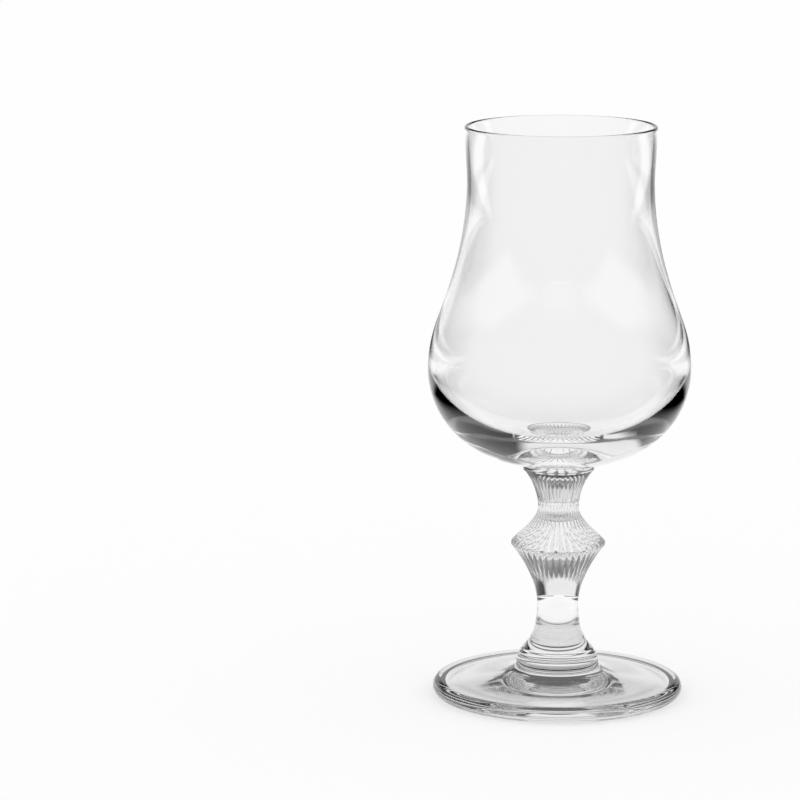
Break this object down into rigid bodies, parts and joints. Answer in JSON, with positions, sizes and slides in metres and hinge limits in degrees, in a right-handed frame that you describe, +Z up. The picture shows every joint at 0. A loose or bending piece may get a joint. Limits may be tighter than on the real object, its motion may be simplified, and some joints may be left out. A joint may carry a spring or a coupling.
{
  "type": "goblet",
  "caption": "Stemmed goblet of clear glass: tulip-shaped bowl with a thick bottom, ribbed capital and double-cone knop on the stem, thin merese rings and a round foot.",
  "frame": {"origin": "middle of the underside of the foot, on the surface that the goblet stands on", "axes": "+Z up, along the goblet's axis, from the foot to the rim; +X and +Y are level, and the turn about the axis has no meaning apart from the ribs"},
  "size_m": [0.0752, 0.0752, 0.165],
  "materials": {
    "clear_glass": "fire-polished, clear and colourless"
  },
  "bodies": {
    "root": {"foot": "clear_glass", "foot_merese": "clear_glass", "stem": "clear_glass", "bowl_merese": "clear_glass", "bowl": "clear_glass"}
  },
  "joints": []
}
